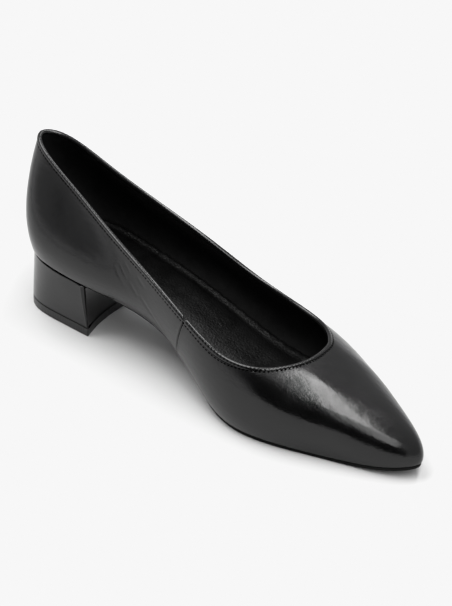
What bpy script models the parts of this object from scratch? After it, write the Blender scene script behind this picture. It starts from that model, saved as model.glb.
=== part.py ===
"""Low heel pump, left shoe: a lasted leather upper on a thin sole with a low covered block heel.

Frame: +X to the toe, +Y to the outer side of the foot, +Z up, in metres.
The origin lies on the floor, under the middle of the shoe.
"""
from collections import namedtuple
from math import cos, pi, radians, sin

import bpy
import numpy as np

# Driving dimensions of the last
LENGTH = 0.256
BALL_WIDTH = 0.080
BACK_HEIGHT = 0.094
HEEL_HEIGHT = 0.038

# Thicknesses and clearances
WALL = 0.0018
GAP = 0.0003
SOLE_THICKNESS = 0.0022
SEAT_THICKNESS = 0.0012
SOLE_THIN_X = 0.066
SOLE_FULL_X = 0.140
SOLE_INSET_FRONT = 0.0004
SOLE_INSET_BACK = 0.0014

# Raised edge along the topline
BEAD_HEIGHT = 0.0021
BEAD_LIP = 0.0004

# Padded insole: height of its edge, of the ring inside the edge, and how far in that ring lies
INSOLE_EDGE = 0.0022
INSOLE_CROWN = 0.0034
INSOLE_CROWN_SHARE = 0.35

# Heel, top to bottom
TOP_PIECE_HEIGHT = 0.0047
HEEL_ROUND_X = 0.036
HEEL_MIDDLE_Y = 0.0006
HEEL_BREAST_HOLLOW = 0.0030
HEEL_BREAST_SLANT = 0.13
HEEL_ARC_STEPS = 9
HEEL_BREAST_STEPS = 4

# Sampling: wall samples from one section to the next, and levels up the wall
SAMPLES_PER_SECTION = 5
WALL_LEVELS = 9

PERCENT = 0.01

# Columns of the wall sections and their units: a percent of a driving dimension, or a degree.
# feather is the foot of the wall on the sole, top is the topline. The wall leans out from upright at its
# foot and keeps that course for its rise; it falls away from the topline at its slope for its reach.
SECTION_UNITS = {
    "feather_along": PERCENT * LENGTH,
    "feather_out": PERCENT * BALL_WIDTH,
    "top_along": PERCENT * LENGTH,
    "top_out": PERCENT * BALL_WIDTH,
    "top_height": PERCENT * BACK_HEIGHT,
    "lean": radians(1),
    "rise": PERCENT * LENGTH,
    "slope": radians(1),
    "reach": PERCENT * LENGTH,
}
Section = namedtuple("Section", ["name", *SECTION_UNITS])

# Wall sections, from the middle of the heel back by the inner side to the toe, then back by the outer side
SECTIONS = (
    Section("heel_back", 2.7, 0.0, 0.4, 0.0, 100.0, 17, 10.0, 72, 8.0),
    Section("heel_back_inner", 4.6, -24.0, 3.0, -9.5, 97.2, 17, 9.9, 68, 7.3),
    Section("heel_inner", 13.9, -34.4, 13.6, -16.4, 84.8, 20, 8.6, 70, 6.6),
    Section("seat_front_inner", 25.6, -29.5, 26.2, -23.8, 71.7, 29, 7.5, 77, 5.8),
    Section("waist_inner", 39.6, -22.5, 39.1, -31.6, 60.0, 41, 5.3, 85, 4.9),
    Section("arch_inner", 52.4, -31.8, 50.7, -37.2, 47.8, 43, 3.9, 80, 3.5),
    Section("ball_inner", 64.7, -43.7, 60.0, -38.8, 40.2, 37, 4.0, 57, 2.5),
    Section("vamp_inner", 75.7, -37.6, 66.9, -34.0, 39.6, 23, 5.0, 32, 5.3),
    Section("toe_side_inner", 87.4, -25.1, 70.7, -21.2, 39.6, 12, 5.3, 14, 10.1),
    Section("toe_inner", 96.0, -14.4, 71.9, -9.5, 38.8, 9, 5.3, 11, 14.1),
    Section("toe_tip", 98.9, -3.4, 72.2, 0.0, 38.3, 11, 5.9, 16, 16.3),
    Section("toe_outer", 96.4, 6.6, 71.9, 10.5, 37.8, 13, 6.1, 18, 14.3),
    Section("toe_side_outer", 88.0, 20.0, 70.7, 21.6, 37.4, 13, 5.9, 24, 11.3),
    Section("vamp_outer", 75.8, 36.9, 66.7, 33.6, 36.9, 20, 5.7, 36, 8.2),
    Section("ball_outer", 63.4, 47.3, 59.6, 39.0, 38.6, 31, 5.8, 50, 5.0),
    Section("arch_outer", 52.0, 44.5, 50.0, 37.0, 45.6, 30, 6.7, 69, 5.2),
    Section("waist_outer", 39.0, 38.0, 39.1, 30.3, 59.4, 30, 7.5, 78, 6.1),
    Section("seat_front_outer", 25.8, 36.4, 26.8, 22.5, 73.6, 32, 8.0, 76, 6.2),
    Section("heel_outer", 14.1, 36.2, 14.1, 16.4, 86.9, 26, 9.2, 71, 7.2),
    Section("heel_back_outer", 4.8, 22.5, 3.2, 9.6, 98.2, 22, 10.2, 70, 8.0),
)

# Height of the feather line along the shoe, in percent of LENGTH and of HEEL_HEIGHT
Bottom = namedtuple("Bottom", "name along height")
BOTTOM_LINE = (
    Bottom("heel_back", 0.0, 100.5),
    Bottom("seat", 11.7, 93.0),
    Bottom("breast", 23.4, 82.2),
    Bottom("waist", 35.2, 66.3),
    Bottom("arch", 46.9, 35.3),
    Bottom("tread_back", 56.6, 10.0),
    Bottom("ball", 65.6, 5.8),
    Bottom("tread_front", 76.2, 5.3),
    Bottom("toe_spring", 87.9, 7.2),
    Bottom("toe_tip", 100.8, 21.5),
)

# Outlines of the heel: middle of the back, half width, squareness of the round back (2 is an ellipse),
# breast corner, and width of the folded edge beside the breast
HeelLevel = namedtuple("HeelLevel", "back half_width squareness breast fold")
HEEL_TOP = HeelLevel(back=0.0070, half_width=0.0276, squareness=2.6, breast=0.0520, fold=0.0020)
HEEL_BASE = HeelLevel(back=0.0042, half_width=0.0245, squareness=3.2, breast=0.0526, fold=0.0006)

# Cross-section of the raised edge: level from its foot to its top, offset from its middle
BeadPoint = namedtuple("BeadPoint", "level offset")
BEAD_SECTION = (
    BeadPoint(0.0, 1.0),
    BeadPoint(0.5, 1.0),
    BeadPoint(0.85, 0.72),
    BeadPoint(1.0, 0.3),
    BeadPoint(1.0, -0.3),
    BeadPoint(0.85, -0.72),
    BeadPoint(0.5, -1.0),
    BeadPoint(0.0, -1.0),
)

# Materials: linear colour, roughness
Finish = namedtuple("Finish", "colour roughness")
FINISHES = {
    "upper": Finish((0.012, 0.012, 0.013), 0.32),
    "topline_binding": Finish((0.014, 0.014, 0.015), 0.35),
    "insole": Finish((0.010, 0.010, 0.010), 0.50),
    "outsole": Finish((0.012, 0.011, 0.011), 0.60),
    "heel_block": Finish((0.013, 0.013, 0.014), 0.34),
    "heel_top_piece": Finish((0.014, 0.014, 0.014), 0.70),
}


def clear_scene():
    """Remove whatever the file starts with."""
    for item in list(bpy.data.objects):
        bpy.data.objects.remove(item, do_unlink=True)


def closed_spline(knots, rows, at):
    """Smooth closed curve through one row per knot, read at the given places along it."""
    gaps = np.diff(knots)
    count = len(gaps)
    steps = (np.roll(rows, -1, axis=0) - rows) / gaps[:, None]
    balance = np.zeros((count, count))
    for i in range(count):
        balance[i, i - 1] += gaps[i - 1]
        balance[i, i] += 2 * (gaps[i - 1] + gaps[i])
        balance[i, (i + 1) % count] += gaps[i]
    bends = np.linalg.solve(balance, 6 * (steps - np.roll(steps, 1, axis=0)))
    low = np.clip(np.searchsorted(knots, at, side="right") - 1, 0, count - 1)
    high = (low + 1) % count
    b = ((at - knots[low]) / gaps[low])[:, None]
    a = 1 - b
    curve = (a**3 - a) * bends[low] + (b**3 - b) * bends[high]
    return a * rows[low] + b * rows[high] + curve * gaps[low][:, None] ** 2 / 6


def bottom_height(x):
    """Height of the feather line at x, from a smooth curve through the bottom line's rows."""
    xs = np.array([row.along for row in BOTTOM_LINE]) * PERCENT * LENGTH
    zs = np.array([row.height for row in BOTTOM_LINE]) * PERCENT * HEEL_HEIGHT
    gaps = np.diff(xs)
    balance = np.eye(len(xs))
    turns = np.zeros(len(xs))
    for i in range(1, len(xs) - 1):
        balance[i, i - 1:i + 2] = gaps[i - 1], 2 * (gaps[i - 1] + gaps[i]), gaps[i]
        turns[i] = 6 * ((zs[i + 1] - zs[i]) / gaps[i] - (zs[i] - zs[i - 1]) / gaps[i - 1])
    bends = np.linalg.solve(balance, turns)
    low = np.clip(np.searchsorted(xs, x, side="right") - 1, 0, len(gaps) - 1)
    b = (x - xs[low]) / gaps[low]
    a = 1 - b
    curve = (a**3 - a) * bends[low] + (b**3 - b) * bends[low + 1]
    return a * zs[low] + b * zs[low + 1] + curve * gaps[low] ** 2 / 6


def plan_normals(points):
    """Outward normals, seen from above, of a ring that runs from the heel by the inner side."""
    tangents = np.roll(points[:, :2], -1, axis=0) - np.roll(points[:, :2], 1, axis=0)
    tangents /= np.linalg.norm(tangents, axis=1)[:, None]
    return np.column_stack([tangents[:, 1], -tangents[:, 0], np.zeros(len(points))])


class Wall:
    """The lasted wall: a ring of curved profiles from the feather line to the topline."""

    def __init__(self, per_section):
        rows = np.array([section[1:] for section in SECTIONS]) * np.array(list(SECTION_UNITS.values()))
        feet = rows[:, 0:2]
        tops = rows[:, 2:4]
        middles = (feet * 2 + tops) / 3
        strides = np.linalg.norm(np.roll(middles, -1, axis=0) - middles, axis=1)
        knots = np.concatenate([[0.0], np.cumsum(strides)])
        at = np.interp(np.arange(len(rows) * per_section) / per_section, np.arange(len(knots)), knots)
        foot_x, foot_y, top_x, top_y, top_z, lean, rise, slope, reach = closed_spline(knots, rows, at).T
        self.lean = lean
        self.reach = reach
        self.feather = np.column_stack([foot_x, foot_y, bottom_height(foot_x)])
        self.top = np.column_stack([top_x, top_y, top_z])
        self.feather_normals = plan_normals(self.feather)
        up = np.array([0.0, 0.0, 1.0])
        out_low = self.feather_normals * np.sin(lean)[:, None] + up * np.cos(lean)[:, None]
        self.low = self.feather + out_low * rise[:, None]
        out_high = plan_normals(self.top) * np.cos(slope)[:, None] - up * np.sin(slope)[:, None]
        self.high = self.top + out_high * reach[:, None]

    def ring(self, level):
        """Points and normals of the outer face at a level from 0, the feather, to 1, the topline."""
        v = np.broadcast_to(level, len(self.top))[:, None]
        w = 1 - v
        points = w**3 * self.feather + 3 * w * w * v * self.low + 3 * w * v * v * self.high + v**3 * self.top
        rising = w * w * (self.low - self.feather) + 2 * w * v * (self.high - self.low)
        rising += v * v * (self.top - self.high)
        along = np.roll(points, -1, axis=0) - np.roll(points, 1, axis=0)
        normals = np.cross(along, rising)
        normals /= np.linalg.norm(normals, axis=1)[:, None]
        return points, normals

    def level_below_top(self, distance):
        """Level that lies a short distance down the wall from the topline."""
        return 1 - distance / (3 * self.reach)

    def inset_outline(self, distance):
        """Feather outline moved inward in plan."""
        return self.feather - self.feather_normals * np.broadcast_to(distance, len(self.feather))[:, None]


def at_height(ring, heights):
    """The ring's plan at other heights."""
    return np.column_stack([ring[:, 0], ring[:, 1], np.broadcast_to(heights, len(ring))])


def toward_spine(ring, share):
    """The ring drawn in toward the shoe's middle line by a share of its half width."""
    middle = (ring + np.roll(ring[::-1], 1, axis=0)) / 2
    return ring + (middle - ring) * share


def bridge(count, start_low, start_high):
    """Faces between two rings of points, turned outward when the second ring is the higher one."""
    faces = []
    for i in range(count):
        j = (i + 1) % count
        faces.append((start_low + i, start_low + j, start_high + j, start_high + i))
    return faces


def cap(ring, start, spine_start, shoulder):
    """Spine points and upward faces that fill a ring; past the shoulder the front is a fan."""
    count = len(ring)
    pairs = range(1, shoulder + 1)
    spine = [(ring[i] + ring[count - i]) / 2 for i in pairs]
    last = spine_start + len(spine) - 1
    faces = [(start, start + 1, spine_start), (start + count - 1, start, spine_start)]
    for i in pairs[:-1]:
        s = spine_start + i - 1
        faces.append((start + i, start + i + 1, s + 1, s))
        faces.append((start + count - i - 1, start + count - i, s, s + 1))
    for i in range(shoulder, count - shoulder):
        faces.append((start + i, start + i + 1, last))
    return spine, faces


def loop_solid(name, rings):
    """Closed solid whose cross-section runs through all the rings and back to the first."""
    count = len(rings[0])
    faces = []
    for k in range(len(rings)):
        faces += bridge(count, k * count, (k + 1) % len(rings) * count)
    return make_object(name, np.concatenate(rings), faces)


def plate_solid(name, rings, shoulder):
    """Closed solid of stacked rings, bottom first, with both ends filled in."""
    count = len(rings[0])
    points = list(np.concatenate(rings))
    faces = []
    for k in range(len(rings) - 1):
        faces += bridge(count, k * count, (k + 1) * count)
    spine, upward = cap(rings[-1], (len(rings) - 1) * count, len(points), shoulder)
    points += spine
    faces += upward
    spine, upward = cap(rings[0], 0, len(points), shoulder)
    points += spine
    faces += [face[::-1] for face in upward]
    return make_object(name, points, faces)


def make_material(name):
    """Plain material of a sub-part."""
    finish = FINISHES[name]
    material = bpy.data.materials.new(name)
    material.use_nodes = True
    shader = material.node_tree.nodes["Principled BSDF"]
    shader.inputs["Base Color"].default_value = (*finish.colour, 1.0)
    shader.inputs["Roughness"].default_value = finish.roughness
    shader.inputs["Metallic"].default_value = 0.0
    return material


def make_object(name, points, faces):
    """Named mesh object with its own material, shaded smooth."""
    mesh = bpy.data.meshes.new(name)
    mesh.from_pydata([tuple(point) for point in points], [], faces)
    mesh.shade_smooth()
    mesh.set_sharp_from_angle(angle=pi / 5)
    mesh.materials.append(make_material(name))
    item = bpy.data.objects.new(name, mesh)
    bpy.context.collection.objects.link(item)
    return item


def make_upper(wall):
    """Hollow leather wall, open at the collar and underneath."""
    top_level = wall.level_below_top(BEAD_HEIGHT + GAP)
    levels = [top_level * k / (WALL_LEVELS - 1) for k in range(WALL_LEVELS)]
    outer = []
    inner = []
    for level in levels:
        points, normals = wall.ring(level)
        outer.append(points)
        inner.append(points - normals * WALL)
    inner[0] = wall.inset_outline(WALL / np.cos(wall.lean))
    inner[0] = at_height(inner[0], bottom_height(inner[0][:, 0]))
    return loop_solid("upper", outer + inner[::-1])


def make_topline_binding(wall):
    """Rounded raised edge on the upper's top."""
    half_width = WALL / 2 + BEAD_LIP
    foot, foot_normals = wall.ring(wall.level_below_top(BEAD_HEIGHT))
    top, top_normals = wall.ring(1.0)
    foot_middle = foot - foot_normals * WALL / 2
    top_middle = top - top_normals * WALL / 2
    rings = []
    for point in BEAD_SECTION:
        middle = foot_middle + (top_middle - foot_middle) * point.level
        rings.append(middle + foot_normals * half_width * point.offset)
    return loop_solid("topline_binding", rings)


def sole_underside(x):
    """Height of the sole's underside: thin under seat and waist, flat on the floor under the ball."""
    thin_share = np.clip((SOLE_FULL_X - x) / (SOLE_FULL_X - SOLE_THIN_X), 0.0, 1.0)
    thickness = SOLE_THICKNESS + (SEAT_THICKNESS - SOLE_THICKNESS) * thin_share
    return np.maximum(bottom_height(x) - thickness, 0.0)


def make_outsole(wall):
    """Thin full length sole, set back a little under the wall."""
    back_share = np.clip(1 - wall.feather[:, 0] / (LENGTH / 2), 0.0, 1.0)
    outline = wall.inset_outline(SOLE_INSET_FRONT + (SOLE_INSET_BACK - SOLE_INSET_FRONT) * back_share)
    under = at_height(outline, sole_underside(outline[:, 0]))
    upper_face = at_height(outline, bottom_height(outline[:, 0]) - GAP)
    return plate_solid("outsole", [under, upper_face], len(outline) // 2 - 1)


def make_insole(wall):
    """Padded insole that fills the foot of the wall, highest along its middle."""
    outline = wall.inset_outline(WALL / np.cos(wall.lean) + 2 * GAP)
    base = at_height(outline, bottom_height(outline[:, 0]))
    rim = at_height(outline, base[:, 2] + INSOLE_EDGE)
    crown = toward_spine(outline, INSOLE_CROWN_SHARE)
    crown = at_height(crown, bottom_height(crown[:, 0]) + INSOLE_CROWN)
    return plate_solid("insole", [base, rim, crown], len(outline) // 2 - 1)


def heel_outline(level):
    """Plan of the heel at one level: round back, straight sides, folded edges and a hollow breast."""
    side = []
    for step in range(HEEL_ARC_STEPS + 1):
        angle = pi / 2 * step / HEEL_ARC_STEPS
        back_reach = cos(angle) ** (2 / level.squareness) if step < HEEL_ARC_STEPS else 0.0
        x = HEEL_ROUND_X - (HEEL_ROUND_X - level.back) * back_reach
        side.append((x, level.half_width * sin(angle) ** (2 / level.squareness)))
    side.append((level.breast - level.fold, level.half_width))
    edge = level.half_width - level.fold
    for step in range(HEEL_BREAST_STEPS + 1):
        y = edge * (1 - step / HEEL_BREAST_STEPS)
        side.append((level.breast - HEEL_BREAST_HOLLOW * (1 - (y / edge) ** 2), y))
    inner = [(x, -y) for x, y in side]
    outer = side[-2:0:-1]
    ring = np.array(inner + outer)
    front_share = np.clip((ring[:, 0] - HEEL_ROUND_X) / (level.breast - HEEL_ROUND_X), 0.0, 1.0)
    ring[:, 0] -= HEEL_BREAST_SLANT * ring[:, 1] * front_share
    ring[:, 1] += HEEL_MIDDLE_Y
    return ring


def make_heel_block():
    """Covered block between the sole's seat and the top piece."""
    top = heel_outline(HEEL_TOP)
    base = heel_outline(HEEL_BASE)
    rings = [at_height(base, TOP_PIECE_HEIGHT + GAP), at_height(top, sole_underside(top[:, 0]) - GAP)]
    return plate_solid("heel_block", rings, HEEL_ARC_STEPS + 1)


def make_heel_top_piece():
    """Flat rubber piece that the heel stands on."""
    base = heel_outline(HEEL_BASE)
    rings = [at_height(base, 0.0), at_height(base, TOP_PIECE_HEIGHT)]
    return plate_solid("heel_top_piece", rings, HEEL_ARC_STEPS + 1)


def stand_on_origin(items):
    """Hang the pieces on one empty, so that the middle of their box lies over the origin."""
    corners = np.concatenate([[vertex.co[:] for vertex in item.data.vertices] for item in items])
    middle = (corners.min(axis=0) + corners.max(axis=0)) / 2
    pump = bpy.data.objects.new("pump", None)
    bpy.context.collection.objects.link(pump)
    pump.location = (-middle[0], -middle[1], 0.0)
    for item in items:
        item.parent = pump


def main():
    clear_scene()
    wall = Wall(SAMPLES_PER_SECTION)
    stand_on_origin([
        make_upper(wall),
        make_topline_binding(wall),
        make_insole(wall),
        make_outsole(wall),
        make_heel_block(),
        make_heel_top_piece(),
    ])


main()
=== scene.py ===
"""Low heel pump, left shoe: fine leather, stitching, insole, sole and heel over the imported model.

Shoe sizes are in metres from the back of the last: +X to the toe, +Y to the outer side, +Z up.
"""
from collections import namedtuple
from math import cos, pi, radians, sin

import bpy
import numpy as np
from mathutils import Matrix, Vector


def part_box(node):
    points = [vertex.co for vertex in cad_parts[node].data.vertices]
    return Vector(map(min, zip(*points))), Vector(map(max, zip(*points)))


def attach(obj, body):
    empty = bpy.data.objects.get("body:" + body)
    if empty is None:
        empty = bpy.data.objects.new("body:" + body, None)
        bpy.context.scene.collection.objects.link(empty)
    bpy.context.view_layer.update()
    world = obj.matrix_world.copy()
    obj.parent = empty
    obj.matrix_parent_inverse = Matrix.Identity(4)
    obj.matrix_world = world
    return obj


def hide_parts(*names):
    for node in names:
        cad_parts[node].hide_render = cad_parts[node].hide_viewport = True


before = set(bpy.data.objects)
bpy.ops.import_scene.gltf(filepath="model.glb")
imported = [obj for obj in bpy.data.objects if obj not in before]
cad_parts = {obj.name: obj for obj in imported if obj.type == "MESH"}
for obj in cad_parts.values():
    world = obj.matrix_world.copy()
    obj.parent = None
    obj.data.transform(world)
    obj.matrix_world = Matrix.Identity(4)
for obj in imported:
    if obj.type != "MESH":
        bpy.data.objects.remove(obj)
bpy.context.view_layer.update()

MM = 0.001
PERCENT = 0.01

# Driving dimensions of the last
LENGTH = 0.256
BALL_WIDTH = 0.080
BACK_HEIGHT = 0.094
HEEL_HEIGHT = 0.038

# Thicknesses and clearances
WALL = 0.0018
GAP = 0.0003
SOLE_THICKNESS = 0.0022
SEAT_THICKNESS = 0.0012
SOLE_THIN_X = 0.066
SOLE_FULL_X = 0.140
SOLE_INSET_FRONT = 0.0004
SOLE_INSET_BACK = 0.0014
BEAD_HEIGHT = 0.0021
BEAD_LIP = 0.0004
TOP_PIECE_HEIGHT = 0.0047
HEEL_ROUND_X = 0.036
HEEL_MIDDLE_Y = 0.0006
HEEL_BREAST_HOLLOW = 0.0030
HEEL_BREAST_SLANT = 0.13

# Columns of the wall sections and their units
SECTION_UNITS = {
    "feather_along": PERCENT * LENGTH,
    "feather_out": PERCENT * BALL_WIDTH,
    "top_along": PERCENT * LENGTH,
    "top_out": PERCENT * BALL_WIDTH,
    "top_height": PERCENT * BACK_HEIGHT,
    "lean": radians(1),
    "rise": PERCENT * LENGTH,
    "slope": radians(1),
    "reach": PERCENT * LENGTH,
}
Section = namedtuple("Section", ["name", *SECTION_UNITS])

# Wall sections, from the middle of the heel back by the inner side to the toe, then back by the outer side
SECTIONS = (
    Section("heel_back", 2.7, 0.0, 0.4, 0.0, 100.0, 17, 10.0, 72, 8.0),
    Section("heel_back_inner", 4.6, -24.0, 3.0, -9.5, 97.2, 17, 9.9, 68, 7.3),
    Section("heel_inner", 13.9, -34.4, 13.6, -16.4, 84.8, 20, 8.6, 70, 6.6),
    Section("seat_front_inner", 25.6, -29.5, 26.2, -23.8, 71.7, 29, 7.5, 77, 5.8),
    Section("waist_inner", 39.6, -22.5, 39.1, -31.6, 60.0, 41, 5.3, 85, 4.9),
    Section("arch_inner", 52.4, -31.8, 50.7, -37.2, 47.8, 43, 3.9, 80, 3.5),
    Section("ball_inner", 64.7, -43.7, 60.0, -38.8, 40.2, 37, 4.0, 57, 2.5),
    Section("vamp_inner", 75.7, -37.6, 66.9, -34.0, 39.6, 23, 5.0, 32, 5.3),
    Section("toe_side_inner", 87.4, -25.1, 70.7, -21.2, 39.6, 12, 5.3, 14, 10.1),
    Section("toe_inner", 96.0, -14.4, 71.9, -9.5, 38.8, 9, 5.3, 11, 14.1),
    Section("toe_tip", 98.9, -3.4, 72.2, 0.0, 38.3, 11, 5.9, 16, 16.3),
    Section("toe_outer", 96.4, 6.6, 71.9, 10.5, 37.8, 13, 6.1, 18, 14.3),
    Section("toe_side_outer", 88.0, 20.0, 70.7, 21.6, 37.4, 13, 5.9, 24, 11.3),
    Section("vamp_outer", 75.8, 36.9, 66.7, 33.6, 36.9, 20, 5.7, 36, 8.2),
    Section("ball_outer", 63.4, 47.3, 59.6, 39.0, 38.6, 31, 5.8, 50, 5.0),
    Section("arch_outer", 52.0, 44.5, 50.0, 37.0, 45.6, 30, 6.7, 69, 5.2),
    Section("waist_outer", 39.0, 38.0, 39.1, 30.3, 59.4, 30, 7.5, 78, 6.1),
    Section("seat_front_outer", 25.8, 36.4, 26.8, 22.5, 73.6, 32, 8.0, 76, 6.2),
    Section("heel_outer", 14.1, 36.2, 14.1, 16.4, 86.9, 26, 9.2, 71, 7.2),
    Section("heel_back_outer", 4.8, 22.5, 3.2, 9.6, 98.2, 22, 10.2, 70, 8.0),
)
SECTION_NAMES = [section.name for section in SECTIONS]

# Height of the feather line along the shoe, in percent of LENGTH and of HEEL_HEIGHT
Bottom = namedtuple("Bottom", "name along height")
BOTTOM_LINE = (
    Bottom("heel_back", 0.0, 100.5),
    Bottom("seat", 11.7, 93.0),
    Bottom("breast", 23.4, 82.2),
    Bottom("waist", 35.2, 66.3),
    Bottom("arch", 46.9, 35.3),
    Bottom("tread_back", 56.6, 10.0),
    Bottom("ball", 65.6, 5.8),
    Bottom("tread_front", 76.2, 5.3),
    Bottom("toe_spring", 87.9, 7.2),
    Bottom("toe_tip", 100.8, 21.5),
)

# Outlines of the heel: middle of the back, half width, squareness of the round back, breast corner, fold
HeelLevel = namedtuple("HeelLevel", "back half_width squareness breast fold")
HEEL_TOP = HeelLevel(back=0.0070, half_width=0.0276, squareness=2.6, breast=0.0520, fold=0.0020)
HEEL_BASE = HeelLevel(back=0.0042, half_width=0.0245, squareness=3.2, breast=0.0526, fold=0.0006)

# Sampling: columns from one section to the next, and levels as shares of the wall's height
WALL_COLUMNS = 26
CREASED_COLUMNS = 70
CREASED_SECTIONS = ("seat_front_inner", "waist_inner")
BEAD_COLUMNS = 90
PLATE_COLUMNS = 24
FOOT_LEVELS = np.linspace(0.0, 0.05, 10)
BODY_LEVELS = np.linspace(0.05, 0.93, 54)
TOP_LEVELS = np.linspace(0.93, 1.0, 28)
WALL_SHARES = np.unique(np.concatenate([FOOT_LEVELS, BODY_LEVELS, TOP_LEVELS]))
LINING_SHARES = np.linspace(0.0, 1.0, 34)

# Levels skipped on the wall's hidden faces, and angles above which an edge is shaded sharp
UPPER_INSIDE_STEP = 8
LINING_OUTSIDE_STEP = 3
SHARP_ANGLE = pi / 5
PAD_SHARP_ANGLE = pi / 3

# Leather of the upper, with its lining inside it
UPPER_THICKNESS = 1.2 * MM
LINING_GAP = 0.05 * MM
ROLL_REACH = 0.9 * MM
ROLL_DEPTH = 0.42 * MM

# Side seam on the inner side: place of its top end in sections, and how far back it leans on its way down
SEAM_PLACE = 4.90
SEAM_LEAN = 0.425
SEAM_WINDOW = 1.1
SEAM_WIDTH = 0.34 * MM
SEAM_DEPTH = 0.60 * MM
SEAM_SWELL_WIDTH = 1.5 * MM
SEAM_SWELL = 0.16 * MM
SEAM_CLOSE_SPAN = 0.07
SEAM_CLOSE_COLUMNS = 15

# Leather pressed in under the raised edge, and the stitches that hold it there
PRESS_REACH = 1.3 * MM
PRESS_DEPTH = 0.04 * MM
STITCH_DOWN = 0.40 * MM
STITCH_PITCH = 2.1 * MM
STITCH_LENGTH = 1.55 * MM
STITCH_WIDTH = 0.85 * MM
STITCH_SINK = 0.18 * MM
STITCH_RINGS = 5
STITCH_SIDES = 8

# Raised edge: its round section, its puckers and the notch of the side seam
BEAD_ROUND_STEPS = 8
BEAD_TUCK = 0.86
BEAD_TUCK_LEVEL = 0.14
BEAD_PUCKER = 0.03 * MM
BEAD_NOTCH_WIDTH = 0.75 * MM
BEAD_NOTCH = 0.38

# How a crease fades toward its ends, and the swell beside it
CREASE_FADE = 0.7
CREASE_SWELL = 0.4
CREASE_SWELL_REACH = 2.4

# Soft creases on the inner waist: ends along and up the shoe, depth and half width, in millimetres
Crease = namedtuple("Crease", "name along_a up_a along_b up_b depth width")
CREASES = (
    Crease("upper_back", 75.0, 53.5, 84.0, 43.5, 0.22, 1.1),
    Crease("upper_inner", 76.4, 54.4, 84.0, 46.0, 0.12, 0.7),
    Crease("upper_middle", 77.6, 55.4, 85.0, 48.0, 0.24, 0.95),
    Crease("upper_outer", 79.2, 56.2, 85.6, 50.4, 0.12, 0.7),
    Crease("upper_front", 80.4, 57.0, 87.0, 52.0, 0.20, 0.95),
    Crease("front_fold", 90.9, 52.9, 97.5, 48.4, 0.18, 1.0),
    Crease("middle_fold", 86.0, 48.0, 93.0, 41.0, 0.22, 1.1),
    Crease("long_fold", 93.0, 44.0, 109.0, 27.0, 0.24, 1.2),
)

# Dents in the padded insole: place, half sizes and depth in millimetres; a negative depth is a ridge
Dent = namedtuple("Dent", "name along out half_along half_out depth")
DENTS = (
    Dent("ball_inner", 148.0, -13.0, 22.0, 8.0, 0.8),
    Dent("ball_outer", 152.0, 15.0, 24.0, 8.0, 0.9),
    Dent("middle_ridge", 150.0, 1.0, 40.0, 6.0, -0.4),
    Dent("waist_inner", 104.0, -8.0, 22.0, 7.0, 0.7),
    Dent("waist_outer", 98.0, 10.0, 26.0, 8.0, 0.6),
    Dent("seat", 34.0, 1.0, 22.0, 14.0, 0.8),
)

# Padded insole: height above the feather line at shares of the way from its edge to the middle line
PadStep = namedtuple("PadStep", "share height")
PAD_STEPS = (
    PadStep(0.0, 2.6 * MM),
    PadStep(0.03, 2.9 * MM),
    PadStep(0.07, 2.8 * MM),
    PadStep(0.15, 1.7 * MM),
    PadStep(0.20, 1.6 * MM),
    PadStep(0.32, 2.6 * MM),
    PadStep(0.48, 3.2 * MM),
    PadStep(0.65, 3.5 * MM),
    PadStep(0.97, 3.6 * MM),
)

# Rings of the insole, closer toward its edge, and how far in the dents reach their full depth
PAD_RINGS = 22
PAD_RING_CROWDING = 1.4
DENT_EDGE_SHARE = 0.3

# Unevenness of the insole's rim
RIM_SHARE = 0.16
RIM_RIPPLE = 0.30 * MM
RIM_PITCHES = (5.3 * MM, 8.7 * MM)

# Heel and sole edges
HEEL_SIDE_POINTS = 360
HEEL_FOLD_POINTS = 22
HEEL_BREAST_POINTS = 170
HEEL_CAP_FIRST = 60
HEEL_CAP_LAST = 310
HEEL_CORNER_PASSES = 6
HEEL_LEVELS = 18
HEEL_EDGE = 0.25 * MM
HEEL_RIM_DROP_BACK = 1.5 * MM
HEEL_RIM_DROP_FRONT = 0.8 * MM
HEEL_RIM_WIDTH = 0.75 * MM
HEEL_RIM_TAPER = 0.7 * MM
FOLD_RIDGE = 0.10 * MM
FOLD_RIDGE_WIDTH = 0.30 * MM
FOLD_LINE_DEPTH = 0.80 * MM
FOLD_LINE_WIDTH = 0.40 * MM
FOLD_LINE_OFFSET = -0.40 * MM
FOLD_TAPER = 0.4
BREAST_SINK = 0.40 * MM
BREAST_RUN = 1.0 * MM
BREAST_LEAD = 0.3
HEEL_LINE_DEPTH = 0.70 * MM
HEEL_LINE_HEIGHT = 0.75 * MM
RIB_PITCH = 1.3 * MM
RIB_DEPTH = 0.05 * MM
SOLE_EDGE = 0.8 * MM
SOLE_EDGE_STEPS = 4
SOLE_TONGUE_INSET = 0.8 * MM
SOLE_TONGUE_RISE = 0.2 * MM

# Camera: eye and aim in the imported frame, roll, and the angle the picture's height covers
EYE = Vector((0.4610, -0.5636, 0.5038))
AIM = Vector((-0.0381, 0.0492, 0.0))
ROLL = radians(2.048)
PICTURE_ANGLE = radians(20.0)
NEAR_CLIP = 0.01

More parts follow.
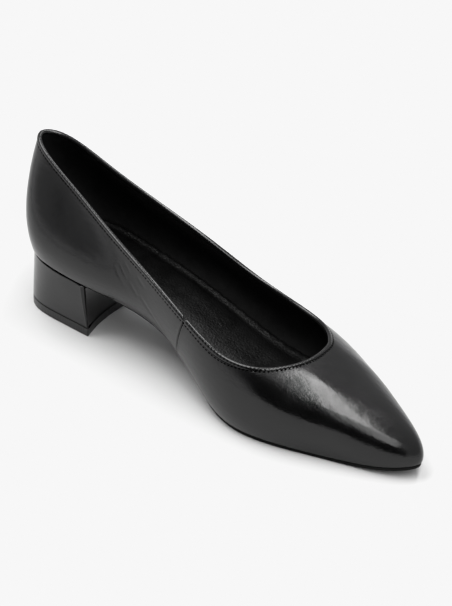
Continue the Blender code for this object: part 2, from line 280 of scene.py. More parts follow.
# Studio: floor, softboxes that face straight down, and a room that is dark on one side and bright low down
FLOOR_SIZE = 6.0
Softbox = namedtuple("Softbox", "name place length width turn power")
SOFTBOXES = (
    Softbox("strip_overhead", (0.13, 0.42, 1.6), 2.2, 0.23, 113, 19.5),
    Softbox("strip_front", (0.71, -0.73, 1.0), 1.1, 0.45, 119, 6.4),
    Softbox("box_back", (-0.72, -0.24, 1.6), 1.4, 0.8, 90, 25.0),
)
SOFTBOX_COLOUR = (1.0, 1.0, 0.995)
DARK_SIDE = (0.259, -0.903, 0.342)
DARK_SQUASH = (1.0, 1.0, 0.5)
DARK_EDGE = 0.72
DARK_CORE = 0.86
LOW_HEIGHT = 0.05
LOW_LIGHT = (1.1, 1.1, 1.11, 1.0)
HIGH_HEIGHT = 0.3
HIGH_LIGHT = (0.55, 0.55, 0.555, 1.0)
WHITE = (1.0, 1.0, 1.0, 1.0)
BLACK = (0.0, 0.0, 0.0, 1.0)

# Tones: linear light in the scene and in the picture, from where the shoulder starts to where it ends
SHOULDER = ((0.70, 0.70), (0.86, 0.84), (1.00, 0.93))

# Sockets of a Mix node for colours, and the curve that is for all channels
MIX_A = 6
MIX_B = 7
MIX_RESULT = 2
COMBINED_CURVE = 3

# Parts of a noise's range that are spread over a material's tones and roughness
TONE_RANGE = (0.35, 0.65)
ROUGHNESS_RANGE = (0.3, 0.7)


def closed_spline(knots, rows, at):
    """Smooth closed curve through one row per knot, read at the given places along it."""
    gaps = np.diff(knots)
    count = len(gaps)
    steps = (np.roll(rows, -1, axis=0) - rows) / gaps[:, None]
    balance = np.zeros((count, count))
    for i in range(count):
        balance[i, i - 1] += gaps[i - 1]
        balance[i, i] += 2 * (gaps[i - 1] + gaps[i])
        balance[i, (i + 1) % count] += gaps[i]
    bends = np.linalg.solve(balance, 6 * (steps - np.roll(steps, 1, axis=0)))
    low = np.clip(np.searchsorted(knots, at, side="right") - 1, 0, count - 1)
    high = (low + 1) % count
    b = ((at - knots[low]) / gaps[low])[:, None]
    a = 1 - b
    curve = (a**3 - a) * bends[low] + (b**3 - b) * bends[high]
    return a * rows[low] + b * rows[high] + curve * gaps[low][:, None] ** 2 / 6


def bottom_height(x):
    """Height of the feather line at x, from a smooth curve through the bottom line's rows."""
    xs = np.array([row.along for row in BOTTOM_LINE]) * PERCENT * LENGTH
    zs = np.array([row.height for row in BOTTOM_LINE]) * PERCENT * HEEL_HEIGHT
    gaps = np.diff(xs)
    balance = np.eye(len(xs))
    turns = np.zeros(len(xs))
    for i in range(1, len(xs) - 1):
        balance[i, i - 1:i + 2] = gaps[i - 1], 2 * (gaps[i - 1] + gaps[i]), gaps[i]
        turns[i] = 6 * ((zs[i + 1] - zs[i]) / gaps[i] - (zs[i] - zs[i - 1]) / gaps[i - 1])
    bends = np.linalg.solve(balance, turns)
    low = np.clip(np.searchsorted(xs, x, side="right") - 1, 0, len(gaps) - 1)
    b = (x - xs[low]) / gaps[low]
    a = 1 - b
    curve = (a**3 - a) * bends[low] + (b**3 - b) * bends[low + 1]
    return a * zs[low] + b * zs[low + 1] + curve * gaps[low] ** 2 / 6


def plan_normals(points):
    """Outward normals, seen from above, of a ring that runs from the heel by the inner side."""
    tangents = np.roll(points[:, :2], -1, axis=0) - np.roll(points[:, :2], 1, axis=0)
    tangents /= np.linalg.norm(tangents, axis=1)[:, None]
    return np.column_stack([tangents[:, 1], -tangents[:, 0], np.zeros(len(points))])


class Wall:
    """The lasted wall: a ring of curved profiles from the feather line to the topline."""

    def __init__(self, places):
        rows = np.array([section[1:] for section in SECTIONS]) * np.array(list(SECTION_UNITS.values()))
        middles = (rows[:, 0:2] * 2 + rows[:, 2:4]) / 3
        strides = np.linalg.norm(np.roll(middles, -1, axis=0) - middles, axis=1)
        knots = np.concatenate([[0.0], np.cumsum(strides)])
        at = np.interp(places, np.arange(len(knots)), knots)
        foot_x, foot_y, top_x, top_y, top_z, lean, rise, slope, reach = closed_spline(knots, rows, at).T
        self.lean = lean
        self.reach = reach
        self.feather = np.column_stack([foot_x, foot_y, bottom_height(foot_x)])
        self.top = np.column_stack([top_x, top_y, top_z])
        self.feather_normals = plan_normals(self.feather)
        up = np.array([0.0, 0.0, 1.0])
        out_low = self.feather_normals * np.sin(lean)[:, None] + up * np.cos(lean)[:, None]
        self.low = self.feather + out_low * rise[:, None]
        out_high = plan_normals(self.top) * np.cos(slope)[:, None] - up * np.sin(slope)[:, None]
        self.high = self.top + out_high * reach[:, None]

    def ring(self, level):
        """Points and normals of the outer face at a level from 0, the feather, to 1, the topline."""
        v = np.broadcast_to(level, len(self.top))[:, None]
        w = 1 - v
        points = w**3 * self.feather + 3 * w * w * v * self.low + 3 * w * v * v * self.high + v**3 * self.top
        rising = w * w * (self.low - self.feather) + 2 * w * v * (self.high - self.low)
        rising += v * v * (self.top - self.high)
        along = np.roll(points, -1, axis=0) - np.roll(points, 1, axis=0)
        normals = np.cross(along, rising)
        normals /= np.linalg.norm(normals, axis=1)[:, None]
        return points, normals

    def level_below_top(self, distance):
        """Level that lies a short distance down the wall from the topline."""
        return 1 - distance / (3 * self.reach)

    def inset_outline(self, distance):
        """Feather outline moved inward in plan."""
        return self.feather - self.feather_normals * np.broadcast_to(distance, len(self.feather))[:, None]


def even_places(per_section):
    """Places round the shoe, the same number from each section to the next."""
    return np.arange(len(SECTIONS) * per_section) / per_section


def fine_places():
    """Places of the upper's columns: closer on the creased waist, and very close along the side seam."""
    close = np.linspace(-SEAM_CLOSE_SPAN, SEAM_CLOSE_SPAN, SEAM_CLOSE_COLUMNS)
    parts = [even_places(WALL_COLUMNS), SEAM_PLACE + close]
    for name in CREASED_SECTIONS:
        parts.append(SECTION_NAMES.index(name) + np.arange(CREASED_COLUMNS) / CREASED_COLUMNS)
    places = np.unique(np.round(np.concatenate(parts), 4))
    apart = np.diff(places, append=len(SECTIONS))
    return places[apart > SEAM_CLOSE_SPAN / SEAM_CLOSE_COLUMNS / 2]


def lean_with_seam(places, share):
    """Places moved so that one column of the wall follows the side seam down from the topline."""
    window = np.clip(1 - np.abs(places - SEAM_PLACE) / SEAM_WINDOW, 0.0, 1.0)
    return places - SEAM_LEAN * (1 - share) * window * window * (3 - 2 * window)


def wall_grid(places, shares):
    """Outer face of the wall below the raised edge, level by level."""
    levels = []
    for share in shares:
        wall = Wall(lean_with_seam(places, share))
        levels.append(wall.ring(share * wall.level_below_top(BEAD_HEIGHT + GAP))[0])
    return np.array(levels)


def grid_normals(grid):
    """Outward normals of a wall grid."""
    along = np.roll(grid, -1, axis=1) - np.roll(grid, 1, axis=1)
    normals = np.cross(along, np.gradient(grid, axis=0))
    return normals / np.linalg.norm(normals, axis=2)[:, :, None]


def length_up(grid):
    """Length along the wall from its foot to each point of a grid."""
    steps = np.linalg.norm(np.diff(grid, axis=0), axis=2)
    return np.concatenate([np.zeros((1, grid.shape[1])), np.cumsum(steps, axis=0)])


def length_across(grid, column):
    """Length along each level from one column to each point of a grid."""
    steps = np.linalg.norm(np.diff(grid, axis=1), axis=2)
    run = np.concatenate([np.zeros((grid.shape[0], 1)), np.cumsum(steps, axis=1)], axis=1)
    return run - run[:, column:column + 1]


def trough(distance, width):
    """Soft round trough of depth one."""
    return np.exp(-(distance / width) ** 2)


def crease_relief(grid):
    """Depth of the listed creases on the inner waist."""
    side = grid[:, :, [0, 2]] / MM
    inner = grid[:, :, 1] < 0
    depth = np.zeros(grid.shape[:2])
    for crease in CREASES:
        start = np.array([crease.along_a, crease.up_a])
        run = np.array([crease.along_b, crease.up_b]) - start
        share = ((side - start) @ run) / (run @ run)
        nearest = start + np.clip(share, 0.0, 1.0)[:, :, None] * run
        away = np.linalg.norm(side - nearest, axis=2)
        fade = np.sin(np.clip(share, 0.0, 1.0) * pi) ** CREASE_FADE
        profile = trough(away, crease.width) - CREASE_SWELL * trough(away, CREASE_SWELL_REACH * crease.width)
        depth += crease.depth * MM * fade * profile
    return depth * inner


def to_packed(points):
    """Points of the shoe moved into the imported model's frame."""
    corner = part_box("heel_top_piece")[0]
    shift = np.array([corner[0] - HEEL_BASE.back, corner[1] - HEEL_MIDDLE_Y + HEEL_BASE.half_width, 0.0])
    return np.asarray(points) + shift


def make_piece(name, points, faces, material, node, sharp=SHARP_ANGLE):
    """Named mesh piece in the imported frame, riding on the shoe."""
    mesh = bpy.data.meshes.new(name)
    mesh.from_pydata([tuple(point) for point in to_packed(points)], [], faces)
    mesh.shade_smooth()
    mesh.set_sharp_from_angle(angle=sharp)
    mesh.materials.append(material)
    piece = bpy.data.objects.new(name, mesh)
    bpy.context.collection.objects.link(piece)
    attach(piece, "root")
    if node:
        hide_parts(node)
    return piece


def bridge(count, start_low, start_high):
    """Faces between two rings of points, turned outward when the second ring is the higher one."""
    faces = []
    for i in range(count):
        j = (i + 1) % count
        faces.append((start_low + i, start_low + j, start_high + j, start_high + i))
    return faces


def loop_faces(count, rings):
    """Faces of a closed tube whose cross-section runs through all the rings and back to the first."""
    faces = []
    for k in range(rings):
        faces += bridge(count, k * count, (k + 1) % rings * count)
    return faces


def at_height(ring, heights):
    """The ring's plan at other heights."""
    return np.column_stack([ring[:, 0], ring[:, 1], np.broadcast_to(heights, len(ring))])


def toward_spine(ring, share):
    """The ring drawn in toward the shoe's middle line by a share of its half width."""
    middle = (ring + np.roll(ring[::-1], 1, axis=0)) / 2
    return ring + (middle - ring) * share


def spine_faces(count, start, spine_start, first, pairs):
    """Upward faces from a ring to its middle line, with a fan past either end of the line."""
    faces = []
    for i in range(-first, first):
        faces.append((start + i % count, start + (i + 1) % count, spine_start))
    for i in range(first, pairs):
        s = spine_start + i - first
        faces.append((start + i, start + i + 1, s + 1, s))
        faces.append((start + count - i - 1, start + count - i, s, s + 1))
    for i in range(pairs, count - pairs):
        faces.append((start + i, start + i + 1, spine_start + pairs - first))
    return faces


def spine_points(ring, first, pairs):
    """Middle line of a ring, from one pair of its points to another."""
    return [(ring[i] + ring[len(ring) - i]) / 2 for i in range(first, pairs + 1)]


def plate(rings, first=1, pairs=None):
    """Points and faces of stacked rings, bottom first, both ends filled in along their middle line."""
    count = len(rings[0])
    pairs = pairs or count // 2 - 1
    points = list(np.concatenate(rings))
    faces = []
    for k in range(len(rings) - 1):
        faces += bridge(count, k * count, (k + 1) * count)
    faces += spine_faces(count, (len(rings) - 1) * count, len(points), first, pairs)
    points += spine_points(rings[-1], first, pairs)
    faces += [face[::-1] for face in spine_faces(count, 0, len(points), first, pairs)]
    points += spine_points(rings[0], first, pairs)
    return points, faces


def foot_inside(places, thickness):
    """Foot of the wall's inside at a thickness, level with the feather line."""
    wall = Wall(places)
    foot = wall.inset_outline(thickness / np.cos(wall.lean))
    return at_height(foot, bottom_height(foot[:, 0]))


def make_upper(material):
    """Leather of the upper: pressed in under its edge, seamed, creased and rolled in at its foot."""
    places = fine_places()
    grid = wall_grid(places, WALL_SHARES)
    normals = grid_normals(grid)
    up = length_up(grid)
    down = up[-1] - up
    across = length_across(grid, int(np.argmin(np.abs(places - SEAM_PLACE))))
    relief = SEAM_SWELL * trough(across, SEAM_SWELL_WIDTH)
    relief -= (SEAM_DEPTH + SEAM_SWELL) * trough(across, SEAM_WIDTH)
    relief -= PRESS_DEPTH * trough(down, PRESS_REACH)
    relief -= ROLL_DEPTH * np.clip(1 - up / ROLL_REACH, 0.0, 1.0) ** 2
    relief -= crease_relief(grid)
    outer = grid + normals * relief[:, :, None]
    inner = (grid - normals * UPPER_THICKNESS)[::-UPPER_INSIDE_STEP]
    inner[-1] = foot_inside(lean_with_seam(places, 0.0), UPPER_THICKNESS)
    rings = np.concatenate([outer, inner])
    faces = loop_faces(len(places), len(rings))
    return make_piece("upper_leather", rings.reshape(-1, 3), faces, material, "upper")


def make_lining(material):
    """Thin lining inside the upper."""
    places = even_places(PLATE_COLUMNS)
    grid = wall_grid(places, LINING_SHARES)
    normals = grid_normals(grid)
    outer = (grid - normals * (UPPER_THICKNESS + LINING_GAP))[::LINING_OUTSIDE_STEP]
    outer[0] = foot_inside(lean_with_seam(places, 0.0), UPPER_THICKNESS + LINING_GAP)
    inner = (grid - normals * WALL)[::-1]
    inner[-1] = foot_inside(lean_with_seam(places, 0.0), WALL)
    rings = np.concatenate([outer, inner])
    faces = loop_faces(len(places), len(rings))
    return make_piece("lining", rings.reshape(-1, 3), faces, material, None)


def bead_section():
    """Round cross-section of the raised edge: level from foot to top, offset from its middle."""
    section = [(0.0, BEAD_TUCK), (BEAD_TUCK_LEVEL, 1.0)]
    for step in range(BEAD_ROUND_STEPS + 1):
        angle = pi * step / BEAD_ROUND_STEPS
        section.append((0.5 + 0.5 * sin(angle), cos(angle)))
    return section + [(BEAD_TUCK_LEVEL, -1.0), (0.0, -BEAD_TUCK)]


def make_binding(material):
    """Raised edge of the topline, puckered by its stitches and notched where the side seam crosses it."""
    places = even_places(BEAD_COLUMNS)
    wall = Wall(places)
    foot, normals = wall.ring(wall.level_below_top(BEAD_HEIGHT))
    top, top_normals = wall.ring(1.0)
    foot_middle = foot - normals * WALL / 2
    top_middle = top - top_normals * WALL / 2
    run = length_across(foot[None], int(np.argmin(np.abs(places - SEAM_PLACE))))[0]
    notch = 1 - BEAD_NOTCH * trough(run, BEAD_NOTCH_WIDTH)
    swell = BEAD_PUCKER * np.cos(2 * pi * run / STITCH_PITCH)
    half_width = (WALL / 2 + BEAD_LIP + swell) * notch
    rings = []
    for level, offset in bead_section():
        middle = foot_middle + (top_middle - foot_middle) * (level * notch)[:, None]
        rings.append(middle + normals * (half_width * offset)[:, None])
    points = np.concatenate(rings)
    faces = loop_faces(len(places), len(rings))
    return make_piece("topline_edge", points, faces, material, "topline_binding")


def stitch_shape():
    """Unit stitch: a small rounded grain, longest along its first axis."""
    points = []
    for k in range(STITCH_RINGS):
        tilt = pi * (k + 1) / (STITCH_RINGS + 1)
        for i in range(STITCH_SIDES):
            turn = 2 * pi * i / STITCH_SIDES
            points.append((cos(tilt), sin(tilt) * cos(turn), sin(tilt) * sin(turn)))
    faces = []
    for k in range(STITCH_RINGS - 1):
        faces += bridge(STITCH_SIDES, (k + 1) * STITCH_SIDES, k * STITCH_SIDES)
    faces.append(tuple(range(STITCH_SIDES)))
    faces.append(tuple(reversed(range(len(points) - STITCH_SIDES, len(points)))))
    return np.array(points), faces


def make_stitches(material):
    """Row of stitches along the pressed leather under the raised edge."""
    places = even_places(BEAD_COLUMNS)
    wall = Wall(places)
    line, normals = wall.ring(wall.level_below_top(BEAD_HEIGHT + GAP + STITCH_DOWN))
    tangents = np.roll(line, -1, axis=0) - np.roll(line, 1, axis=0)
    tangents /= np.linalg.norm(tangents, axis=1)[:, None]
    steps = np.linalg.norm(np.roll(line, -1, axis=0) - line, axis=1)
    run = np.concatenate([[0.0], np.cumsum(steps)])
    count = int(round(run[-1] / STITCH_PITCH))
    shape, shape_faces = stitch_shape()
    points = []
    faces = []
    for k in range(count):
        i = int(np.searchsorted(run, run[-1] * (k + 0.5) / count)) % len(line)
        side = np.cross(normals[i], tangents[i])
        axes = np.array([tangents[i] * STITCH_LENGTH, side * STITCH_WIDTH, normals[i] * STITCH_WIDTH]) / 2
        faces += [tuple(len(points) + corner for corner in face) for face in shape_faces]
        points += list(line[i] - normals[i] * STITCH_SINK + shape @ axes)
    return make_piece("topline_stitches", points, faces, material, None)


def dent_depth(points):
    """Depth of the dents pressed into the insole."""
    depth = np.zeros(len(points))
    for dent in DENTS:
        along = (points[:, 0] / MM - dent.along) / dent.half_along
        out = (points[:, 1] / MM - dent.out) / dent.half_out
        depth += dent.depth * MM * np.exp(-along**2 - out**2)
    return depth


def make_insole(material):
    """Padded insole, crowned along its middle and dented where it is soft."""
    wall = Wall(even_places(PLATE_COLUMNS))
    outline = wall.inset_outline(WALL / np.cos(wall.lean) + 2 * GAP)
    shares = [step.share for step in PAD_STEPS]
    heights = [step.height for step in PAD_STEPS]
    rings = [at_height(outline, bottom_height(outline[:, 0]))]
    run = length_across(outline[None], 0)[0]
    ripple = sum(np.sin(2 * pi * run / pitch) for pitch in RIM_PITCHES) / len(RIM_PITCHES)
    for share in np.linspace(0.0, shares[-1], PAD_RINGS) ** PAD_RING_CROWDING:
        ring = toward_spine(outline, share)
        lift = np.interp(share, shares, heights) + RIM_RIPPLE * ripple * max(1 - share / RIM_SHARE, 0.0)
        inward = min(share / DENT_EDGE_SHARE, 1.0)
        rings.append(at_height(ring, bottom_height(ring[:, 0]) + lift - dent_depth(ring) * inward))
    points, faces = plate(rings)
    piece = make_piece("insole_sock", points, faces, material, "insole", PAD_SHARP_ANGLE)
    return piece


def sole_underside(x):
    """Height of the sole's underside: thin under seat and waist, flat on the floor under the ball."""
    thin_share = np.clip((SOLE_FULL_X - x) / (SOLE_FULL_X - SOLE_THIN_X), 0.0, 1.0)
    thickness = SOLE_THICKNESS + (SEAT_THICKNESS - SOLE_THICKNESS) * thin_share
    return np.maximum(bottom_height(x) - thickness, 0.0)


def make_outsole(material):
    """Thin full length sole with softly rounded edges."""
    wall = Wall(even_places(PLATE_COLUMNS))
    back_share = np.clip(1 - wall.feather[:, 0] / (LENGTH / 2), 0.0, 1.0)
    inset = SOLE_INSET_FRONT + (SOLE_INSET_BACK - SOLE_INSET_FRONT) * back_share
    rings = []
    for step in range(SOLE_EDGE_STEPS + 1):
        angle = pi / 2 * step / SOLE_EDGE_STEPS
        ring = wall.inset_outline(inset + SOLE_EDGE * (1 - sin(angle)))
        rings.append(at_height(ring, sole_underside(ring[:, 0]) + SOLE_EDGE * (1 - cos(angle))))
    ring = wall.inset_outline(inset)
    rings.append(at_height(ring, bottom_height(ring[:, 0]) - GAP))
    ring = wall.inset_outline(inset + SOLE_TONGUE_INSET)
    rings.append(at_height(ring, bottom_height(ring[:, 0]) + SOLE_TONGUE_RISE))
    points, faces = plate(rings)
    return make_piece("sole", points, faces, material, "outsole")


def even_run(points, count):
    """An open line at evenly spaced points, both ends kept."""
    run = np.concatenate([[0.0], np.cumsum(np.linalg.norm(np.diff(points, axis=0), axis=1))])
    at = np.linspace(0.0, run[-1], count)
    return np.column_stack([np.interp(at, run, points[:, axis]) for axis in range(2)])


def heel_half(share):
    """One side of the heel's plan at a share of its height: back and side, folded edge, hollow breast."""
    level = HeelLevel(*(base + (top - base) * share for base, top in zip(HEEL_BASE, HEEL_TOP)))
    angles = np.linspace(0.0, pi / 2, HEEL_SIDE_POINTS)
    back_reach = np.clip(np.cos(angles), 0.0, 1.0) ** (2 / level.squareness)
    x = HEEL_ROUND_X - (HEEL_ROUND_X - level.back) * back_reach
    y = level.half_width * np.sin(angles) ** (2 / level.squareness)
    fold_start = (level.breast - level.fold, level.half_width)
    side = even_run(np.vstack([np.column_stack([x, y]), fold_start]), HEEL_SIDE_POINTS)
    edge = level.half_width - level.fold
    fold = np.linspace(fold_start, (level.breast, edge), HEEL_FOLD_POINTS)
    breast_y = np.linspace(edge, 0.0, HEEL_BREAST_POINTS)
    breast = np.column_stack([level.breast - HEEL_BREAST_HOLLOW * (1 - (breast_y / edge) ** 2), breast_y])
    half = np.vstack([side, fold[1:], breast[1:]])
    front_share = np.clip((half[:, 0] - HEEL_ROUND_X) / (level.breast - HEEL_ROUND_X), 0.0, 1.0)
    return half, front_share


def heel_plan(share):
    """Closed plan of the heel from the back by the inner side, its corners softened."""
    half, front_share = heel_half(share)
    ring = np.vstack([half * (1, -1), half[-2:0:-1]])
    front_share = np.concatenate([front_share, front_share[-2:0:-1]])
    ring[:, 0] -= HEEL_BREAST_SLANT * ring[:, 1] * front_share
    ring[:, 1] += HEEL_MIDDLE_Y
    for _ in range(HEEL_CORNER_PASSES):
        ring = (np.roll(ring, 1, axis=0) + 2 * ring + np.roll(ring, -1, axis=0)) / 4
    return ring


def past_corner(share):
    """Length along the plan past the breast's corner, toward the middle of the breast, at each point."""
    half = heel_half(share)[0]
    run = np.concatenate([[0.0], np.cumsum(np.linalg.norm(np.diff(half, axis=0), axis=1))])
    run -= run[HEEL_SIDE_POINTS + HEEL_FOLD_POINTS - 2]
    return np.concatenate([run, run[-2:0:-1]])


def ease(value):
    """Smooth step from 0 to 1."""
    value = np.clip(value, 0.0, 1.0)
    return value * value * (3 - 2 * value)


def fold_relief(share, past):
    """Depth of the dark line beside the folded edge, of the sunk breast, and the fold's raised border."""
    fold = HEEL_BASE.fold + (HEEL_TOP.fold - HEEL_BASE.fold) * share
    taper = FOLD_TAPER + (1 - FOLD_TAPER) * share
    relief = FOLD_LINE_DEPTH * taper * trough(past - FOLD_LINE_OFFSET * taper, FOLD_LINE_WIDTH * taper)
    relief += BREAST_SINK * ease(past / BREAST_RUN)
    return relief - FOLD_RIDGE * trough(past + fold * 2**0.5, FOLD_RIDGE_WIDTH)


def outline_normals(ring):
    """Outward normals of a plan outline that runs from the back by the inner side."""
    tangents = np.roll(ring, -1, axis=0) - np.roll(ring, 1, axis=0)
    tangents /= np.linalg.norm(tangents, axis=1)[:, None]
    return np.column_stack([tangents[:, 1], -tangents[:, 0]])


def make_heel(material):
    """Leather covered heel block: its rim stands round the sole, its edges fold beside a sunk breast."""
    rings = []
    for k in range(HEEL_LEVELS):
        share = k / (HEEL_LEVELS - 1)
        past = past_corner(share)
        ring = heel_plan(share)
        ring -= outline_normals(ring) * fold_relief(share, past)[:, None]
        low = TOP_PIECE_HEIGHT + HEEL_LINE_HEIGHT
        seat = sole_underside(ring[:, 0]) - GAP
        front = ease((ring[:, 0] - HEEL_ROUND_X) / (HEEL_TOP.breast - HEEL_ROUND_X))
        on_breast = ease(past / BREAST_RUN + BREAST_LEAD)
        ring[:, 1] -= np.sign(ring[:, 1]) * HEEL_RIM_TAPER * share**3 * front * (1 - on_breast)
        rim = bottom_height(ring[:, 0]) - HEEL_RIM_DROP_BACK
        rim += (HEEL_RIM_DROP_BACK - HEEL_RIM_DROP_FRONT) * front
        high = rim + (seat - rim) * on_breast
        rings.append(at_height(ring, low + (high - low) * share))
    foot = rings[0].copy()
    foot[:, :2] -= outline_normals(foot[:, :2]) * HEEL_LINE_DEPTH
    core = at_height(foot, TOP_PIECE_HEIGHT + GAP)
    top = rings[-1].copy()
    top[:, :2] -= outline_normals(top[:, :2]) * HEEL_EDGE
    inside = rings[-1].copy()
    inside[:, :2] -= outline_normals(inside[:, :2]) * HEEL_RIM_WIDTH
    inside[:, 2] = np.minimum(sole_underside(inside[:, 0]) - GAP, inside[:, 2])
    rings[-1][:, 2] -= HEEL_EDGE
    rings = [core, foot, *rings, top, inside]
    points, faces = plate(rings, HEEL_CAP_FIRST, HEEL_CAP_LAST)
    return make_piece("heel_cover", points, faces, material, "heel_block")


def make_top_piece(material):
    """Rubber piece under the heel, its side finely ribbed."""
    plan = heel_plan(0.0)
    normals = outline_normals(plan)
    run = np.cumsum(np.linalg.norm(np.roll(plan, -1, axis=0) - plan, axis=1))
    ribbed = plan - normals * (RIB_DEPTH * (0.5 + 0.5 * np.cos(2 * pi * run / RIB_PITCH)))[:, None]
    tucked = plan - normals * HEEL_EDGE
    rings = [
        at_height(tucked, 0.0),
        at_height(ribbed, HEEL_EDGE),
        at_height(ribbed, TOP_PIECE_HEIGHT / 2),
        at_height(ribbed, TOP_PIECE_HEIGHT - HEEL_EDGE / 2),
        at_height(tucked, TOP_PIECE_HEIGHT),
    ]
    points, faces = plate(rings, HEEL_CAP_FIRST, HEEL_CAP_LAST)
    return make_piece("top_piece", points, faces, material, "heel_top_piece")


class Shader:
    """A Principled material under construction."""

    def __init__(self, name, roughness, **sockets):
        self.material = bpy.data.materials.new(name)
        self.material.use_nodes = True
        self.nodes = self.material.node_tree.nodes
        self.links = self.material.node_tree.links
        self.shader = self.nodes["Principled BSDF"]
        self.shader.inputs["Roughness"].default_value = roughness
        for socket, value in sockets.items():
            self.shader.inputs[socket.replace("_", " ")].default_value = value
        self.coordinates = self.nodes.new("ShaderNodeTexCoord").outputs["Object"]

    def texture(self, kind, **sockets):
        """A procedural texture in the shoe's own space, in cells per metre."""
        node = self.nodes.new(kind)
        for socket, value in sockets.items():
            node.inputs[socket].default_value = value
        self.links.new(self.coordinates, node.inputs["Vector"])
        return node

    def noise(self, scale, detail=2.0):
        return self.texture("ShaderNodeTexNoise", Scale=scale, Detail=detail).outputs["Fac"]

    def streaks(self, along, across):
        """Noise drawn out along the shoe."""
        mapping = self.nodes.new("ShaderNodeMapping")
        mapping.inputs["Scale"].default_value = (along / across, 1.0, 1.0)
        self.links.new(self.coordinates, mapping.inputs["Vector"])
        node = self.texture("ShaderNodeTexNoise", Scale=across, Detail=2.0)
        self.links.new(mapping.outputs["Vector"], node.inputs["Vector"])
        return node.outputs["Fac"]

    def cells(self, scale):
        return self.texture("ShaderNodeTexVoronoi", Scale=scale).outputs["Distance"]

    def colour(self, signal, dark, light):
        """Base colour that wanders between two tones."""
        ramp = self.nodes.new("ShaderNodeValToRGB")
        for element, place, tone in zip(ramp.color_ramp.elements, TONE_RANGE, (dark, light)):
            element.position = place
            element.color = (*tone, 1.0)
        self.links.new(signal, ramp.inputs["Fac"])
        self.links.new(ramp.outputs["Color"], self.shader.inputs["Base Color"])

    def roughness(self, signal, smooth, rough):
        """Roughness that wanders between two values."""
        node = self.nodes.new("ShaderNodeMapRange")
        node.inputs["From Min"].default_value = ROUGHNESS_RANGE[0]
        node.inputs["From Max"].default_value = ROUGHNESS_RANGE[1]
        node.inputs["To Min"].default_value = smooth
        node.inputs["To Max"].default_value = rough
        self.links.new(signal, node.inputs["Value"])
        self.links.new(node.outputs["Result"], self.shader.inputs["Roughness"])

    def bump(self, signal, depth, normal=None):
        """Relief of the given depth in metres, on top of an earlier one."""
        node = self.nodes.new("ShaderNodeBump")
        node.inputs["Distance"].default_value = depth
        node.inputs["Strength"].default_value = 1.0
        self.links.new(signal, node.inputs["Height"])
        if normal:
            self.links.new(normal, node.inputs["Normal"])
        return node.outputs["Normal"]

    def finish(self, normal):
        for socket in ("Normal", "Coat Normal"):
            self.links.new(normal, self.shader.inputs[socket])
        return self.material


def calf_leather(name, dark, light, wave):
    """Smooth black calf: semi-gloss, fine pores, a slight unevenness that ruffles the highlights."""
    shader = Shader(name, 0.2, Specular_IOR_Level=0.40)
    shader.colour(shader.noise(55.0), dark, light)
    shader.roughness(shader.noise(130.0, 4.0), 0.13, 0.21)
    normal = shader.bump(shader.noise(95.0, 2.0), wave)
    normal = shader.bump(shader.streaks(150.0, 420.0), 1.5 * wave, normal)
    normal = shader.bump(shader.cells(1700.0), 0.012 * MM, normal)
    normal = shader.bump(shader.noise(1200.0, 3.0), 0.5 * wave, normal)
    return shader.finish(normal)


def lining_leather():
    """Dull black lining."""
    shader = Shader("lining_leather", 0.6, Specular_IOR_Level=0.22)
    shader.colour(shader.noise(80.0), (0.003, 0.003, 0.003), (0.006, 0.006, 0.006))
    shader.roughness(shader.noise(300.0, 3.0), 0.5, 0.65)
    normal = shader.bump(shader.cells(1300.0), 0.05 * MM)
    return shader.finish(normal)


def pebbled_leather():
    """Pebbled insole leather with a soft sheen."""
    shader = Shader("pebbled_leather", 0.42, Specular_IOR_Level=0.13)
    shader.colour(shader.noise(60.0), (0.002, 0.002, 0.002), (0.0045, 0.0045, 0.0045))
    shader.roughness(shader.noise(200.0, 3.0), 0.34, 0.5)
    normal = shader.bump(shader.noise(120.0, 3.0), 0.25 * MM)
    normal = shader.bump(shader.cells(820.0), 0.16 * MM, normal)
    return shader.finish(normal)


def sewing_thread():
    """Twisted dull black thread."""
    shader = Shader("sewing_thread", 0.9, Specular_IOR_Level=0.0)
    shader.colour(shader.noise(900.0), (0.0005, 0.0005, 0.0005), (0.001, 0.001, 0.001))
    return shader.finish(shader.bump(shader.noise(5000.0), 0.05 * MM))


def black_rubber(name, grain, smooth, rough, gloss):
    """Black rubber with a fine grain."""
    shader = Shader(name, rough, Specular_IOR_Level=gloss)
    shader.colour(shader.noise(90.0), (0.004, 0.004, 0.004), (0.008, 0.008, 0.008))
    shader.roughness(shader.noise(400.0, 3.0), smooth, rough)
    return shader.finish(shader.bump(shader.noise(2200.0, 3.0), grain))


def pale_floor():
    """Plain pale studio floor."""
    shader = Shader("pale_floor", 0.7, Specular_IOR_Level=0.2)
    shader.colour(shader.noise(3.0), (0.67, 0.67, 0.67), (0.68, 0.68, 0.68))
    return shader.finish(shader.bump(shader.noise(60.0), 0.02 * MM))


def make_floor():
    half = FLOOR_SIZE / 2
    mesh = bpy.data.meshes.new("studio_floor")
    corners = [(-half, -half, 0.0), (half, -half, 0.0), (half, half, 0.0), (-half, half, 0.0)]
    mesh.from_pydata(corners, [], [(0, 1, 2, 3)])
    mesh.materials.append(pale_floor())
    floor = bpy.data.objects.new("studio_floor", mesh)
    bpy.context.collection.objects.link(floor)


def make_softboxes():
    """Rectangular softboxes that face straight down."""
    for box in SOFTBOXES:
        light = bpy.data.lights.new(box.name, "AREA")
        light.shape = "RECTANGLE"
        light.size = box.length
        light.size_y = box.width
        light.energy = box.power
        light.color = SOFTBOX_COLOUR
        lamp = bpy.data.objects.new(box.name, light)
        bpy.context.collection.objects.link(lamp)
        lamp.location = box.place
        lamp.rotation_euler = (0.0, 0.0, radians(box.turn))


def eased_ramp(nodes, start, end):
    """Ramp that eases from one place and colour to another."""
    ramp = nodes.new("ShaderNodeValToRGB")
    ramp.color_ramp.interpolation = "EASE"
    for element, (place, colour) in zip(ramp.color_ramp.elements, (start, end)):
        element.position = place
        element.color = colour
    return ramp


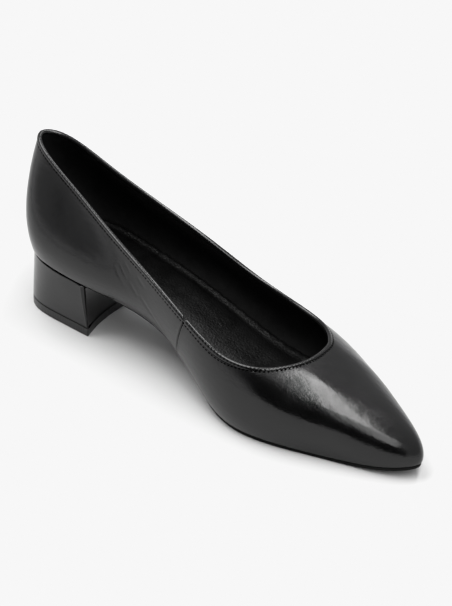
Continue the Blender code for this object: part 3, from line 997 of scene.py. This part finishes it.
def make_room():
    """Soft light from all round, brighter low down and fading to dark on one side."""
    world = bpy.data.worlds.new("studio")
    bpy.context.scene.world = world
    world.use_nodes = True
    nodes = world.node_tree.nodes
    links = world.node_tree.links
    coordinates = nodes.new("ShaderNodeTexCoord")
    squash = nodes.new("ShaderNodeVectorMath")
    squash.operation = "MULTIPLY"
    squash.inputs[1].default_value = DARK_SQUASH
    links.new(coordinates.outputs["Generated"], squash.inputs[0])
    direction = nodes.new("ShaderNodeVectorMath")
    direction.operation = "NORMALIZE"
    links.new(squash.outputs["Vector"], direction.inputs[0])
    toward = nodes.new("ShaderNodeVectorMath")
    toward.operation = "DOT_PRODUCT"
    toward.inputs[1].default_value = DARK_SIDE
    links.new(direction.outputs["Vector"], toward.inputs[0])
    side = eased_ramp(nodes, (DARK_EDGE, WHITE), (DARK_CORE, BLACK))
    links.new(toward.outputs["Value"], side.inputs["Fac"])
    split = nodes.new("ShaderNodeSeparateXYZ")
    links.new(coordinates.outputs["Generated"], split.inputs["Vector"])
    height = eased_ramp(nodes, (LOW_HEIGHT, LOW_LIGHT), (HIGH_HEIGHT, HIGH_LIGHT))
    links.new(split.outputs["Z"], height.inputs["Fac"])
    both = nodes.new("ShaderNodeMix")
    both.data_type = "RGBA"
    both.blend_type = "MULTIPLY"
    both.inputs["Factor"].default_value = 1.0
    links.new(side.outputs["Color"], both.inputs[MIX_A])
    links.new(height.outputs["Color"], both.inputs[MIX_B])
    links.new(both.outputs[MIX_RESULT], nodes["Background"].inputs["Color"])


def make_camera():
    lens = bpy.data.cameras.new("camera")
    lens.sensor_fit = "VERTICAL"
    lens.angle = PICTURE_ANGLE
    lens.clip_start = NEAR_CLIP
    camera = bpy.data.objects.new("camera", lens)
    bpy.context.collection.objects.link(camera)
    turn = (AIM - EYE).to_track_quat("-Z", "Y").to_matrix().to_4x4()
    camera.matrix_world = Matrix.Translation(EYE) @ turn @ Matrix.Rotation(ROLL, 4, "Z")
    bpy.context.scene.camera = camera


def set_tones():
    """Plain tones with a soft shoulder, so that the lit floor stays just below white."""
    view = bpy.context.scene.view_settings
    view.view_transform = "Standard"
    view.use_curve_mapping = True
    tones = view.curve_mapping
    tones.use_clip = False
    tones.extend = "HORIZONTAL"
    curve = tones.curves[COMBINED_CURVE]
    curve.points[1].location = SHOULDER[-1]
    for place in SHOULDER[:-1]:
        curve.points.new(*place)
    for point in curve.points:
        point.handle_type = "VECTOR"
    tones.update()


def main():
    upper_calf = calf_leather("upper_calf", (0.002, 0.002, 0.0021), (0.0035, 0.0035, 0.0036), 0.06 * MM)
    edge_calf = calf_leather("edge_calf", (0.0025, 0.0025, 0.0026), (0.004, 0.004, 0.0041), 0.03 * MM)
    heel_calf = calf_leather("heel_calf", (0.002, 0.002, 0.0021), (0.0035, 0.0035, 0.0036), 0.03 * MM)
    make_upper(upper_calf)
    make_lining(lining_leather())
    make_binding(edge_calf)
    make_stitches(sewing_thread())
    make_insole(pebbled_leather())
    make_outsole(black_rubber("sole_rubber", grain=0.03 * MM, smooth=0.52, rough=0.68, gloss=0.06))
    make_heel(heel_calf)
    make_top_piece(black_rubber("top_piece_rubber", grain=0.02 * MM, smooth=0.26, rough=0.38, gloss=0.48))
    make_floor()
    make_softboxes()
    make_room()
    make_camera()
    set_tones()


main()
